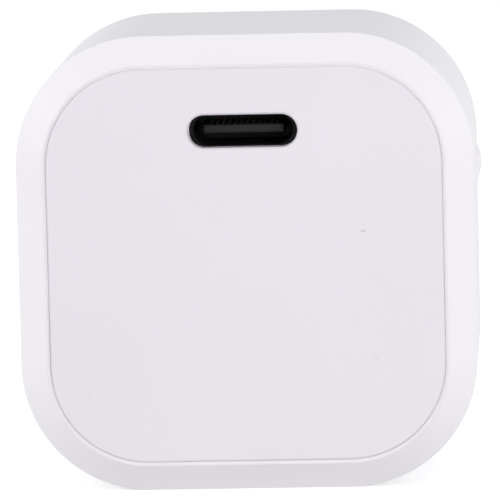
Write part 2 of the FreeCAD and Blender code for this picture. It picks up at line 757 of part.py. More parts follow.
def draw_square(sketch, across, up, half, corner):
    """A square with round corners about a point."""
    across, up, half, corner = (as_size(value) for value in (across, up, half, corner))
    base = FreeCAD.Vector(across.number, up.number, 0)
    run = half.number - corner.number
    for turn in range(4):
        angle = turn * math.pi / 2
        out = FreeCAD.Vector(math.cos(angle), math.sin(angle), 0)
        along = FreeCAD.Vector(-math.sin(angle), math.cos(angle), 0)
        start = base + out * half.number - along * run
        end = base + out * half.number + along * run
        sketch.addGeometry(Part.LineSegment(start, end), False)
        circle = Part.Circle(end - out * corner.number, FreeCAD.Vector(0, 0, 1), corner.number)
        sketch.addGeometry(Part.ArcOfCircle(circle, angle, angle + math.pi / 2), False)
    for index in range(8):
        sketch.addConstraint(Sketcher.Constraint("Tangent", index, 2, (index + 1) % 8, 1))
    for index in range(0, 8, 2):
        direction = "Vertical" if index % 4 == 0 else "Horizontal"
        sketch.addConstraint(Sketcher.Constraint(direction, index))
    for index in (3, 5, 7):
        sketch.addConstraint(Sketcher.Constraint("Equal", 1, index))
    hold(sketch, Sketcher.Constraint("Radius", 1, corner.number), corner)
    for index, axis, place in ((0, "X", across + half), (4, "X", across - half),
                               (2, "Y", up + half), (6, "Y", up - half)):
        hold(sketch, Sketcher.Constraint("Distance" + axis, -1, 1, index, 1, place.number), place)


def make_blade(label, side):
    """One flat plug blade, with a narrow neck that the hub is moulded round."""
    body = new_body(label)
    middle = side * BLADE_X
    left = middle - S["blade_thick"] / 2
    right = middle + S["blade_thick"] / 2
    root = PIVOT_Z - S["hub_radius"] - S["fit_gap"]
    tip = PIVOT_Z - BLADE_TIP
    tail = PIVOT_Z + S["hub_radius"] - S["fit_gap"] * 2
    flat = box_feature(body, "Pad", "blade", left, right, tip, root,
                       PIVOT_Y - S["blade_wide"] / 2, PIVOT_Y + S["blade_wide"] / 2)
    corners = soften(body, "Fillet", "tip_corners", flat, S["blade_tip"],
                     lambda edge: lies_at(edge, "z", tip) and runs_along(edge, "x"))
    soften(body, "Chamfer", "tip_bevel", corners, S["blade_bevel"],
           lambda edge: lies_at(edge, "z", tip) and runs_along(edge, "y"))
    neck = box_feature(body, "Pad", "neck", left, right, root, tail,
                       PIVOT_Y - S["blade_neck"] / 2, PIVOT_Y + S["blade_neck"] / 2)
    soften(body, "Fillet", "tail_rounding", neck, S["blade_neck"] / 2 - S["fit_gap"] * 2,
           lambda edge: lies_at(edge, "z", tail) and runs_along(edge, "x"))
    return body


def make_retainer():
    """The bracket that closes the hub's bay, holds its axles and carries the springs."""
    body = new_body("plug_retainer")
    low = PIVOT_Z - BAY_HALF
    high = PIVOT_Z + BAY_HALF
    box_feature(body, "Pad", "bar", -CHEEK_OUT, CHEEK_OUT, low, high, BAR_FRONT, BAR_REAR)
    hood = S["hood_thick"]
    box_feature(body, "Pad", "top_hood", -CHEEK_OUT, CHEEK_OUT, high, high + hood,
                BAR_FRONT, REAR_INSIDE)
    between = BLADE_X - SLOT_HALF - S["well_wall"]
    box_feature(body, "Pad", "low_hood", -between, between, low - hood, low,
                BAR_FRONT, REAR_INSIDE)
    seat_half = S["axle_radius"] + S["fit_gap"]
    for side, name in ((-1, "left"), (1, "right")):
        inner = side * CHEEK_IN
        outer = side * CHEEK_OUT
        first, second = (inner, outer) if side > 0 else (outer, inner)
        box_feature(body, "Pad", name + "_finger", first, second, PIVOT_Z - seat_half,
                    PIVOT_Z + seat_half, BAR_REAR, PIVOT_Y - seat_half)
        spring_tail_slot(body, name, side, BAR_FRONT, BAR_REAR)
    return body


def spring_tail_slot(body, name, side, front, rear):
    """The slot that a contact spring's tail passes through."""
    half = S["tail_wide"] / 2 + S["fit_gap"]
    low = PIVOT_Z - S["spring_half"]
    middle = side * BLADE_X
    return box_feature(body, "Pocket", name + "_tail_slot", middle - half, middle + half,
                       low - S["fit_gap"], low + S["spring_thick"] + S["fit_gap"], front, rear)


def make_contact_spring(label, side):
    """A bronze contact spring behind one blade, with a tail soldered into the main board."""
    body = new_body(label)
    middle = side * BLADE_X
    half = S["spring_wide"] / 2
    low = PIVOT_Z - S["spring_half"]
    rear = BAR_REAR + S["spring_thick"]
    box_feature(body, "Pad", "leaf", middle - half, middle + half, low,
                PIVOT_Z + S["spring_half"], BAR_REAR, rear)
    dimple = sketch_on(body, "dimple_outline", "XZ_Plane", rear)
    draw_circle(dimple, middle, PIVOT_Z, S["dimple_radius"])
    extrude(body, "Pad", "dimple", dimple, S["spring_dimple"], 1)
    tail = S["tail_wide"] / 2
    box_feature(body, "Pad", "tail", middle - tail, middle + tail, low,
                low + S["spring_thick"], BOARD_FRONT - S["solder_tip"], rear)
    return body


def make_detent_spring():
    """The leaf spring that faces the flats of the hub's cam."""
    body = new_body("detent_spring")
    half = S["cam_long"] / 2 - S["leaf_ease"]
    rear = BAR_REAR + S["spring_thick"]
    box_feature(body, "Pad", "leaf", -half, half, PIVOT_Z - S["leaf_half"],
                PIVOT_Z + S["leaf_half"], BAR_REAR, rear)
    crown = S["leaf_half"] / 4
    box_feature(body, "Pad", "crown", -half, half, PIVOT_Z - crown, PIVOT_Z + crown,
                rear, rear + S["leaf_crown"])
    return body


def make_main_board():
    """The upright main board that seats on the shoulders of the housing's ribs."""
    body = new_body("main_board")
    gap = 2 * S["board_gap"]
    outline = sketch_on(body, "board_outline", "XZ_Plane", BOARD_FRONT)
    draw_rounded(outline, INNER_WIDE - gap, INNER_HIGH - gap, INNER_CORNER - S["board_gap"])
    extrude(body, "Pad", "board", outline, S["board_thick"], 1)
    for wall, inner in WALLS:
        notch = on_wall(body, "Pocket", wall + "_rib_notch", wall,
                        inner - S["rib_tall"] - S["board_gap"], inner,
                        S["rib_wide"] / 2 + S["board_gap"], BOARD_FRONT, BOARD_REAR)
        half_turn(body, wall + "_rib_notches", [notch])
    for side, name in ((-1, "left"), (1, "right")):
        spring_tail_slot(body, name, side, BOARD_FRONT, BOARD_REAR)
    half = S["tenon_wide"] / 2 + S["fit_gap"]
    box_feature(body, "Pocket", "tenon_slot", -half, half,
                USB_BOARD_TOP - S["usb_board_thick"] - S["fit_gap"],
                USB_BOARD_TOP + S["fit_gap"], BOARD_FRONT, BOARD_REAR)
    return body


def make_usb_board():
    """The small level board under the receptacle, tenoned into the main board."""
    body = new_body("usb_board")
    half = S["usb_board_wide"] / 2
    low = USB_BOARD_TOP - S["usb_board_thick"]
    front = PLATE_BACK + S["collar_deep"] + S["collar_gap"]
    box_feature(body, "Pad", "board", -half, half, low, USB_BOARD_TOP, front, BOARD_FRONT)
    tenon = S["tenon_wide"] / 2
    box_feature(body, "Pad", "tenon", -tenon, tenon, low, USB_BOARD_TOP, BOARD_FRONT,
                BOARD_REAR)
    return body


def solid_box(name, left, right, low, high, front, rear):
    """A plain block between six places, measured from the middle of the adapter."""
    left, right, low, high, front, rear = (
        as_size(value) for value in (left, right, low, high, front, rear))
    block = DOCUMENT.addObject("Part::Box", name)
    block.Label = name
    bind(block, "Length", right - left)
    bind(block, "Width", rear - front)
    bind(block, "Height", high - low)
    bind(block, "Placement.Base.x", left)
    bind(block, "Placement.Base.y", front)
    bind(block, "Placement.Base.z", S["body_high"] / 2 + low)
    return block


def make_usb_contacts():
    """Two rows of twelve flat contacts, on the top and the underside of the tongue."""
    tip = USB_FRONT + S["tongue_recess"] + S["contact_tip_gap"]
    strips = []
    for row, side in (("upper", 1), ("lower", -1)):
        face = S["port_rise"] + side * S["tongue_thick"] / 2
        low = face if side > 0 else face - S["contact_thick"]
        for count in range(12):
            middle = (count - 5.5) * S["contact_pitch"]
            left = middle - S["contact_wide"] / 2
            strips.append(solid_box("%s_contact_%d" % (row, count + 1), left,
                                    left + S["contact_wide"], low, low + S["contact_thick"],
                                    tip, tip + S["contact_long"]))
    return grouped("usb_contacts", strips)


def grouped(label, pieces):
    """Several separate solids under one name."""
    group = DOCUMENT.addObject("Part::Compound", label)
    group.Label = label
    group.Links = pieces
    return group


def make_core_half(label, side):
    """One half of the transformer's core: a back, two side legs and a middle leg."""
    body = new_body(label, TRANSFORMER_X, TRANSFORMER_Z)
    half = S["core_wide"] / 2
    rise = S["core_high"] / 2
    rear = BOARD_FRONT
    front = rear - S["core_deep"]
    middle = (front + rear) / 2
    start, end = (middle, rear) if side > 0 else (front, middle)
    box_feature(body, "Pad", "block", -half, half, -rise, rise, start, end)
    leg = S["core_leg"] / 2
    inner = half - S["core_side"]
    window = (middle, rear - S["core_back"]) if side > 0 else (front + S["core_back"], middle)
    box_feature(body, "Pocket", "left_window", -inner, -leg, -rise, rise, *window)
    box_feature(body, "Pocket", "right_window", leg, inner, -rise, rise, *window)
    return body


def make_bobbin():
    """The transformer's bobbin: a square tube on the middle leg, with a flange at each end."""
    body = new_body("transformer_bobbin", TRANSFORMER_X, TRANSFORMER_Z)
    gap = S["fit_gap"]
    wall = S["bobbin_wall"]
    hole_wide = S["core_leg"] / 2 + gap
    hole_high = S["core_high"] / 2 + gap
    rear = BOARD_FRONT - S["core_back"] - gap
    front = BOARD_FRONT - S["core_deep"] + S["core_back"] + gap
    box_feature(body, "Pad", "tube", -hole_wide - wall, hole_wide + wall,
                -hole_high - wall, hole_high + wall, front, rear)
    flange = S["core_wide"] / 2 - S["core_side"] - gap * 2
    rise = S["core_high"] / 2 + LINING + WINDING + S["tape_thick"] + S["flange_lip"]
    thick = S["flange_thick"]
    box_feature(body, "Pad", "front_flange", -flange, flange, -rise, rise, front, front + thick)
    box_feature(body, "Pad", "rear_flange", -flange, flange, -rise, rise, rear - thick, rear)
    box_feature(body, "Pocket", "leg_hole", -hole_wide, hole_wide, -hole_high, hole_high,
                front, rear)
    return body


def make_sleeve(label, inside, thick, short):
    """A wound layer between the bobbin's flanges, one thickness outside the last layer."""
    body = new_body(label, TRANSFORMER_X, TRANSFORMER_Z)
    gap = LINING + inside
    rear = BOARD_FRONT - S["core_back"] - S["fit_gap"] - S["flange_thick"] - short
    front = (BOARD_FRONT - S["core_deep"] + S["core_back"] + S["fit_gap"]
             + S["flange_thick"] + short)
    wide = S["core_leg"] + 2 * gap
    high = S["core_high"] + 2 * gap
    outline = sketch_on(body, "outside", "XZ_Plane", front)
    corner = S["winding_corner"] + inside
    draw_rounded(outline, wide + 2 * thick, high + 2 * thick, corner + thick)
    extrude(body, "Pad", "layer", outline, rear - front, 1)
    hole = sketch_on(body, "inside", "XZ_Plane", front)
    if inside.number > 0:
        draw_rounded(hole, wide, high, corner)
    else:
        draw_rectangle(hole, -wide / 2, wide / 2, -high / 2, high / 2)
    extrude(body, "Pocket", "bore", hole, rear - front, 1)
    return body


def make_can(label, across, up, radius, length, rim=None):
    """A round can that stands on the front of the main board, with a bevelled rim if it has one."""
    body = new_body(label, across, up)
    outline = sketch_on(body, "can_outline", "XZ_Plane", BOARD_FRONT - length)
    draw_circle(outline, 0, 0, radius)
    can = extrude(body, "Pad", "can", outline, length, 1)
    if rim is not None:
        soften(body, "Chamfer", "can_rim", can, rim,
               lambda edge: lies_at(edge, "y", BOARD_FRONT - length))
    return body


def make_choke_core():
    """The ring core of the common-mode choke, lying on the board inside its windings."""
    body = new_body("choke_core", S["choke_side"] - SIDE, -FLOOR - S["choke_drop"])
    rear = BOARD_FRONT - S["choke_wire"]
    outline = sketch_on(body, "ring_outline", "XZ_Plane", rear - S["choke_deep"])
    draw_circle(outline, 0, 0, S["choke_outer"])
    draw_circle(outline, 0, 0, S["choke_inner"])
    extrude(body, "Pad", "ring", outline, S["choke_deep"], 1)
    return body


def make_choke_winding(label, turn):
    """One of the choke's two windings, a bundle round part of the ring."""
    body = new_body(label, S["choke_side"] - SIDE, -FLOOR - S["choke_drop"])
    body.Placement.Rotation = FreeCAD.Rotation(FreeCAD.Vector(0, 1, 0), turn)
    wire = S["choke_wire"]
    rear = BOARD_FRONT - wire
    front = rear - S["choke_deep"]
    axis = [entry for entry in body.Origin.OriginFeatures if entry.Role == "Y_Axis"][0]
    bundle = sketch_on(body, "bundle_outline", "XY_Plane")
    draw_rectangle(bundle, S["choke_inner"] - wire, S["choke_outer"] + wire, front - wire,
                   rear + wire)
    winding = body.newObject("PartDesign::Revolution", "bundle")
    winding.Profile = bundle
    winding.ReferenceAxis = (axis, [""])
    winding.Angle = 130
    winding.Midplane = True
    bore = sketch_on(body, "bore_outline", "XY_Plane")
    draw_rectangle(bore, S["choke_inner"], S["choke_outer"], front, rear)
    groove = body.newObject("PartDesign::Groove", "ring_bore")
    groove.Profile = bore
    groove.ReferenceAxis = (axis, [""])
    groove.Angle = 360
    return body


def make_disc(label, place):
    """A disc-shaped part that stands on edge on the main board."""
    disc = DOCUMENT.addObject("Part::Cylinder", label)
    disc.Label = label
    disc.Placement.Rotation = FreeCAD.Rotation(FreeCAD.Vector(0, 1, 0), 90)
    bind(disc, "Radius", S["disc_radius"])
    bind(disc, "Height", S["disc_thick"])
    bind(disc, "Placement.Base.x", place - S["disc_thick"] / 2)
    bind(disc, "Placement.Base.y", BOARD_FRONT - S["disc_radius"])
    bind(disc, "Placement.Base.z", S["body_high"] / 2 + DISC_Z)
    return disc


def make_filter_capacitor():
    """The box-shaped mains filter capacitor."""
    high = S["filter_high"] / 2
    return solid_box("x_capacitor", FILTER_LEFT, FILTER_LEFT + S["filter_wide"],
                     FILTER_Z - high, FILTER_Z + high, BOARD_FRONT - S["filter_deep"],
                     BOARD_FRONT)


def make_rear_chips():
    """The flat chips on the back of the main board."""
    chips = {
        "switch_ic": (as_size(0), S["switch_rise"], S["switch_side"], S["switch_side"]),
        "bridge_rectifier": (-CHIP_X, S["chip_rise"], S["bridge_wide"], S["bridge_high"]),
        "sync_rectifier": (CHIP_X, S["chip_rise"], S["sync_wide"], S["sync_high"]),
    }
    return [solid_box(name, across - wide / 2, across + wide / 2, up - high / 2, up + high / 2,
                      BOARD_REAR, BOARD_REAR + S["chip_thick"])
            for name, (across, up, wide, high) in chips.items()]


def make_usb_board_chips():
    """The port controller and four small parts, on top of the receptacle's board."""
    front = USB_FRONT + S["usb_long"] + S["controller_gap"]
    half = S["controller_side"] / 2
    controller = solid_box("pd_controller", -half, half, USB_BOARD_TOP,
                           USB_BOARD_TOP + S["chip_thick"], front,
                           front + S["controller_side"])
    small = []
    for side in (-1, 1):
        for row in range(2):
            middle = side * (half + S["small_step"])
            start = front + row * (S["small_long"] + S["part_gap"])
            left = middle - S["small_wide"] / 2
            small.append(solid_box("small_part", left, left + S["small_wide"], USB_BOARD_TOP,
                                   USB_BOARD_TOP + S["small_wide"], start,
                                   start + S["small_long"]))
    return [controller, grouped("small_parts", small)]


def make_cooling():
    """The soft pad on the transformer's side and the metal sheet that spreads its heat."""
    half = S["pad_high"] / 2
    middle = BOARD_FRONT - S["core_deep"] / 2
    pad = solid_box("thermal_pad", CORE_RIGHT, SPREADER_X, TRANSFORMER_Z - half,
                    TRANSFORMER_Z + half, middle - S["pad_wide"] / 2, middle + S["pad_wide"] / 2)
    low = FLOOR + S["spreader_rise"]
    sheet = solid_box("heat_spreader", SPREADER_X, SPREADER_X + S["spreader_thick"], low,
                      low + S["spreader_high"], BOARD_FRONT - S["spreader_deep"], BOARD_FRONT)
    return [pad, sheet]


def make_insulation_sheet():
    """The thin sheet that keeps the mains side away from the transformer."""
    right = CORE_RIGHT - S["core_wide"] - S["part_gap"]
    half = S["sheet_high"] / 2
    return solid_box("insulation_sheet", right - S["sheet_thick"], right, TRANSFORMER_Z - half,
                     TRANSFORMER_Z + half, BOARD_FRONT - S["sheet_deep"], BOARD_FRONT)


def make_capacitors():
    """The two storage capacitors and the two output capacitors, one can each."""
    bulk_low = FLOOR + S["bulk_rise"]
    bulk_step = 2 * S["bulk_radius"] + S["part_gap"]
    output_step = 2 * S["output_radius"] + S["part_gap"]
    cans = []
    for count in range(2):
        cans.append(make_can("bulk_capacitor_%d" % (count + 1), BULK_X,
                             bulk_low + count * bulk_step, S["bulk_radius"], S["bulk_long"],
                             S["bulk_rim"]))
        cans.append(make_can("output_capacitor_%d" % (count + 1), OUTPUT_X,
                             OUTPUT_Z - count * output_step, S["output_radius"],
                             S["output_long"]))
    return cans


def make_all():
    """Every piece of the adapter, in the order that it goes together."""
    pieces = [
        make_shell(),
        make_front_plate(),
        make_hub(),
        make_blade("blade_line", 1),
        make_blade("blade_neutral", -1),
        make_retainer(),
        make_contact_spring("contact_spring_line", 1),
        make_contact_spring("contact_spring_neutral", -1),
        make_detent_spring(),
        make_main_board(),
        make_usb_board(),
        make_usb_shell(),
        make_usb_tongue(),
        make_usb_midplate(),
        make_usb_contacts(),
        make_core_half("transformer_core_rear", 1),
        make_core_half("transformer_core_front", -1),
        make_bobbin(),
        make_sleeve("transformer_winding", as_size(0), WINDING, S["fit_gap"]),
        make_sleeve("transformer_tape", WINDING, S["tape_thick"], S["tape_inset"]),
        make_choke_core(),
        make_choke_winding("choke_winding_1", 0),
        make_choke_winding("choke_winding_2", 180),
        make_can("fuse", FILTER_X, FILTER_Z + S["filter_high"] / 2 + S["part_gap"]
                 + S["fuse_radius"], S["fuse_radius"], S["fuse_long"]),
        make_filter_capacitor(),
        make_disc("varistor", S["varistor_place"]),
        make_disc("safety_capacitor",
                  OUTPUT_X - S["output_radius"] - S["part_gap"] - S["disc_thick"] / 2),
        make_insulation_sheet(),
    ]
    return pieces + make_capacitors() + make_rear_chips() + make_usb_board_chips() + make_cooling()


def check_and_export(pieces):
    """Refuse a document with a broken feature, then write each piece to its own file."""
    DOCUMENT.recompute()
    for item in DOCUMENT.Objects:
        broken = [word for word in item.State if word in ("Invalid", "Error")]
        if broken:
            raise RuntimeError("%s is %s" % (item.Label, broken[0]))
    os.makedirs("parts", exist_ok=True)
    for piece in pieces:
        shape = piece.Shape
        if shape.isNull() or not shape.isValid():
            raise RuntimeError("%s has no sound shape" % piece.Label)
        shape.exportStep("parts/%s.step" % piece.Label)
        print("%-24s %d solids %9.2f mm3" % (piece.Label, len(shape.Solids), shape.Volume))


check_and_export(make_all())
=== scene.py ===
"""A small USB-C wall charger with a folding two-blade plug, photographed from its port side."""

import math

import bmesh
import bpy
from mathutils import Matrix, Vector


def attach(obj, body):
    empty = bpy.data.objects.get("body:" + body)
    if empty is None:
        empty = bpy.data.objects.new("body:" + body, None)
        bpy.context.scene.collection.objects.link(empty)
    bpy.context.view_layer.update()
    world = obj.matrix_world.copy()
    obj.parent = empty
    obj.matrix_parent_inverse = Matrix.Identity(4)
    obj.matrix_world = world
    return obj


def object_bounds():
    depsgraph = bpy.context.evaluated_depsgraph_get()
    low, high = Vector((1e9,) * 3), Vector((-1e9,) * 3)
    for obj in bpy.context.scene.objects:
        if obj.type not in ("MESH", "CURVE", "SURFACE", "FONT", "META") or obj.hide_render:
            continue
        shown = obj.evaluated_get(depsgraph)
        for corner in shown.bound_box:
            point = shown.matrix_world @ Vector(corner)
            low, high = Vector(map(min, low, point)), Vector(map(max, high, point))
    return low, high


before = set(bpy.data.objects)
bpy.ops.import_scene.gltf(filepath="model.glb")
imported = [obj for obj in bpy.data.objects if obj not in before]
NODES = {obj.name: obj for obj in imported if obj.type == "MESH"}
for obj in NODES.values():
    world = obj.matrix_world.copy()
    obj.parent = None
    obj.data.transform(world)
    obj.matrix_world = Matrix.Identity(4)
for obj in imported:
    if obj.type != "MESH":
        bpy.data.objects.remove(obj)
CAD_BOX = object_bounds()
MM = 0.001
WHITE = (1.0, 1.0, 1.0)

# The front's place, and the middle of the port's side.
FRONT = CAD_BOX[0][1]
FACE_MIDDLE = Vector((0.0, FRONT, CAD_BOX[1][2] / 2))

# The camera of the photograph, fitted to the outline and the port: its direction and roll, its
# distance in metres, its lens in millimetres, and how far beside the middle its axis passes.
AZIMUTH = math.radians(2.995)
ELEVATION = math.radians(7.017)
ROLL = math.radians(1.388)
DISTANCE = 0.49
LENS = 424.2
AIM_RIGHT = 0.373 * MM
AIM_UP = 1.263 * MM

# The surround's light where a direction is level, points up, or points away behind the object.
# The light from behind sets in and is full where a direction's Y has these values.
LEVEL_LIGHT = (0.96, 0.96, 0.96)
OVERHEAD_LIGHT = (0.20, 0.20, 0.25)
REAR_LIGHT = (0.97, 0.98, 1.0)
REAR_START = 0.1
REAR_FULL = 0.9

# Each lamp's name, place, size and power, in metres and watts.
LAMPS = (("right_lamp", (0.34, -0.36, 0.10), 0.25, 1.15),
         ("left_lamp", (-0.72, -0.40, 0.22), 0.5, 2.95))
LAMP_AIM = Vector((0.0, 0.0, 0.02))

# The floor's glow is for the camera and for reflections alone, and makes it white there.
FLOOR_HALF = 3.0
FLOOR_COLOUR = (0.60, 0.60, 0.61)
FLOOR_ROUGHNESS = 0.9
FLOOR_GLOW = 0.62

# The housing's wall and outer corner, which its opening for the front plate follows.
WALL = 2.45 * MM
BODY_CORNER = 10.7 * MM
CORNER_STEPS = 16

# The ledge in the seam: how far it reaches in and out from the opening's edge, how deep it
# lies below the front, and how thick it is.
LEDGE_IN = 0.12 * MM
LEDGE_OUT = 0.05 * MM
LEDGE_DEEP = 0.05 * MM
LEDGE_THICK = 0.5 * MM

# The housing's edges look crisp up to one depth behind the front, and rounder from another on.
CRISP_EDGE = 0.02 * MM
EASED_EDGE = 0.3 * MM
CRISP_DEPTH = 2 * MM
EASED_DEPTH = 4 * MM
# The flat lip between the seam and the bevel has a tone near the plate's.
LIP_DEPTH = 0.02 * MM
LIP_TONE = (0.83, 0.79, 0.825)

# Short fibres on the plate: how far across and up each is, and its length.
FLECKS = ((9.85 * MM, 21.8 * MM, 0.55 * MM),
          (10.7 * MM, 11.15 * MM, 0.3 * MM),
          (-13.3 * MM, 8.1 * MM, 0.2 * MM))
FLECK_TONE = (0.42, 0.36, 0.36)
FLECK_SHARE = 0.5
FLECK_SLIMNESS = 2.5
# Where a fibre starts to fade and where it ends, in its own lengths from its middle.
FLECK_CORE = 0.2
FLECK_RIM = 0.55

# The tongue's moulding covers the contacts as far behind the front as this.
MOULDING_DEPTH = 3.4 * MM
MOULDING_TONE = (0.012, 0.012, 0.012)

# A wave texture of scale 1 repeats after this length.
WAVE_LENGTH = 0.314
# How the turns of a winding waver, how far the painted shade between them reaches, and how
# strongly they stand out.
BAND_WAVER = {"Distortion": 0.6, "Detail Scale": 0.5}
BAND_SHADE_REACH = 0.45
BAND_STRENGTH = 0.8

# A circuit board's tracks and tinned pads, laid out in cells. Their reach is in cell widths.
TRACK_CELL = 3.2 * MM
TRACK_REACH = (0.08, 0.11)
TRACK_GREEN = (0.03, 0.24, 0.12)
PAD_CELL = 2.1 * MM
PAD_REACH = 0.14
PAD_TIN = (0.62, 0.62, 0.60)

# How deep and how detailed the surface grain is, and the samples of an edge that looks round.
GRAIN_DEPTH = 0.02 * MM
GRAIN_DETAIL = 3.0
EDGE_SAMPLES = 8

# The scale of clouds and grain along each axis. A low number draws them out.
EVEN = (1, 1, 1)
ALONG_HEIGHT = (1, 1, 0.06)
ALONG_SOCKET = (1, 0.1, 1)
ALONG_CAN = (1, 0.15, 1)

# Where a Mix node has its share, its two colours and its result.
MIX_SHARE = 0
MIX_FIRST = 6
MIX_SECOND = 7
MIX_RESULT = 2

# Each material slot's finish: its two close colours, the range of its roughness and, where they
# aren't the usual, the other arguments of make_paint. The socket's steel is painted as dark as its
# moulding and not metallic: painted shade and a painted dark reflection, not the steel's own colour.
FINISHES = {
    "housing_white": dict(colour=(0.902, 0.878, 0.896), other=(0.892, 0.868, 0.886),
                          roughness=(0.38, 0.46), bump=0.012, edge=EASED_EDGE, shine=0.3),
    "plate_white": dict(colour=(0.796, 0.750, 0.790), other=(0.786, 0.740, 0.780),
                        roughness=(0.38, 0.46), bump=0.012, edge=0.1 * MM, shine=0.3),
    "seam_white": dict(colour=(0.84, 0.815, 0.84), other=(0.82, 0.795, 0.82),
                       roughness=(0.6, 0.7), shine=0.3),
    "hub_white": dict(colour=(0.80, 0.78, 0.80), other=(0.77, 0.75, 0.77),
                      roughness=(0.34, 0.44), edge=0.2 * MM),
    "bracket_grey": dict(colour=(0.48, 0.48, 0.49), other=(0.44, 0.44, 0.45),
                         roughness=(0.5, 0.6)),
    "blade_nickel": dict(colour=(0.74, 0.72, 0.68), other=(0.66, 0.64, 0.60),
                         roughness=(0.18, 0.34), metallic=1, cloud=4 * MM,
                         stretch=ALONG_HEIGHT, bump=0.12),
    "spring_bronze": dict(colour=(0.72, 0.47, 0.22), other=(0.62, 0.38, 0.17),
                          roughness=(0.25, 0.4), metallic=1, cloud=2 * MM,
                          stretch=ALONG_HEIGHT),
    "spring_steel": dict(colour=(0.62, 0.63, 0.64), other=(0.52, 0.52, 0.53),
                         roughness=(0.2, 0.35), metallic=1, cloud=2 * MM,
                         stretch=ALONG_HEIGHT),
    "board_green": dict(colour=(0.02, 0.15, 0.07), other=(0.018, 0.13, 0.06),
                        roughness=(0.25, 0.35), cloud=5 * MM),
    # Painted shade and painted dark reflection: the socket's steel is nearly black and not metallic.
    "socket_steel": dict(colour=(0.011, 0.011, 0.0115), other=(0.008, 0.008, 0.0085),
                         roughness=(0.30, 0.42), cloud=1.5 * MM, stretch=ALONG_SOCKET,
                         shine=0.06),
    "socket_black": dict(colour=(0.025, 0.025, 0.026), other=(0.018, 0.018, 0.019),
                         roughness=(0.45, 0.6), edge=0.3 * MM, shine=0.2),
    "contact_gold": dict(colour=(0.90, 0.62, 0.22), other=(0.82, 0.55, 0.20),
                         roughness=(0.06, 0.1), cloud=1 * MM, bump=0.0),
    "ferrite": dict(colour=(0.035, 0.035, 0.038), other=(0.06, 0.06, 0.063),
                    roughness=(0.45, 0.7), cloud=0.4 * MM, bump=0.2),
    "bobbin_black": dict(colour=(0.02, 0.02, 0.021), other=(0.016, 0.016, 0.017),
                         roughness=(0.4, 0.5)),
    "copper_wire": dict(colour=(0.58, 0.22, 0.09), other=(0.50, 0.18, 0.07),
                        roughness=(0.2, 0.3), metallic=0.6),
    "tape_yellow": dict(colour=(0.80, 0.55, 0.06), other=(0.74, 0.50, 0.05),
                        roughness=(0.2, 0.3), coat=0.5),
    "can_aluminium": dict(colour=(0.62, 0.63, 0.65), other=(0.54, 0.55, 0.57),
                          roughness=(0.22, 0.38), metallic=1, cloud=3 * MM,
                          stretch=ALONG_CAN),
    "filter_yellow": dict(colour=(0.72, 0.45, 0.05), other=(0.66, 0.41, 0.045),
                          roughness=(0.35, 0.45)),
    "disc_blue": dict(colour=(0.03, 0.10, 0.36), other=(0.025, 0.085, 0.31),
                      roughness=(0.15, 0.25), cloud=1.5 * MM, coat=0.6),
    "fuse_brown": dict(colour=(0.10, 0.045, 0.025), other=(0.085, 0.038, 0.02),
                       roughness=(0.3, 0.4)),
    "chip_black": dict(colour=(0.014, 0.014, 0.014), other=(0.02, 0.02, 0.02),
                       roughness=(0.5, 0.62), cloud=0.3 * MM, bump=0.15),
    "pad_grey": dict(colour=(0.30, 0.32, 0.36), other=(0.27, 0.29, 0.33),
                     roughness=(0.65, 0.8), bump=0.2),
    "sheet_aluminium": dict(colour=(0.70, 0.71, 0.72), other=(0.62, 0.63, 0.64),
                            roughness=(0.25, 0.4), metallic=1, cloud=3 * MM,
                            stretch=ALONG_HEIGHT),
    "sheet_white": dict(colour=(0.74, 0.75, 0.76), other=(0.70, 0.71, 0.72),
                        roughness=(0.35, 0.45)),
}

# The turns of the wire and of the tape: their pitch, the painted shade between them and their depth.
BANDS = {"copper_wire": (0.4 * MM, (0.12, 0.04, 0.02), 0.1 * MM),
         "tape_yellow": (2.6 * MM, (0.62, 0.40, 0.04), 0.03 * MM)}


def add_object(name, data):
    """An object in the scene for a mesh, a lamp or a camera."""
    item = bpy.data.objects.new(name, data)
    bpy.context.collection.objects.link(item)
    return item


def add_camera():
    """A long lens, a little to the right of the adapter and a little above it."""
    back = Vector((math.sin(AZIMUTH) * math.cos(ELEVATION),
                   -math.cos(AZIMUTH) * math.cos(ELEVATION), math.sin(ELEVATION)))
    level = Vector((math.cos(AZIMUTH), math.sin(AZIMUTH), 0))
    upright = back.cross(level)
    right = level * math.cos(ROLL) - upright * math.sin(ROLL)
    up = level * math.sin(ROLL) + upright * math.cos(ROLL)
    data = bpy.data.cameras.new("camera")
    data.lens = LENS
    camera = add_object("camera", data)
    place = FACE_MIDDLE + back * DISTANCE + right * AIM_RIGHT + up * AIM_UP
    turn = Matrix((right, up, back)).transposed().to_4x4()
    camera.matrix_world = Matrix.Translation(place) @ turn
    bpy.context.scene.camera = camera


def connect(tree, value, socket):
    """Set a socket to a number or colour, or link another socket to it."""
    if isinstance(value, bpy.types.NodeSocket):
        tree.links.new(value, socket)
    else:
        socket.default_value = value


def add_node(tree, kind, inputs=None, **settings):
    """A shader node with its settings, and its inputs set or linked."""
    item = tree.nodes.new("ShaderNode" + kind)
    for name, value in settings.items():
        setattr(item, name, value)
    for name, value in (inputs or {}).items():
        connect(tree, value, item.inputs[name])
    return item


def coordinates(tree, stretch=EVEN):
    """The object's own coordinates in metres, stretched along its axes."""
    place = add_node(tree, "TexCoord").outputs["Object"]
    return add_node(tree, "Mapping", {"Vector": place, "Scale": stretch}).outputs["Vector"]


def depth_place(tree):
    """How far along the Y axis a point lies, from the port's side to the plug's."""
    return add_node(tree, "SeparateXYZ", {"Vector": coordinates(tree)}).outputs["Y"]


def noise(tree, where, size, detail=2.0):
    """Soft noise whose lumps are about one size in metres."""
    inputs = {"Vector": where, "Scale": 1 / size, "Detail": detail}
    return add_node(tree, "TexNoise", inputs).outputs["Fac"]


def spread(tree, value, low, high, start=0.3, end=0.7):
    """A value that goes from low to high while another, as a rule noise, goes from start to end."""
    inputs = {"Value": value, "From Min": start, "From Max": end, "To Min": low, "To Max": high}
    return add_node(tree, "MapRange", inputs).outputs["Result"]


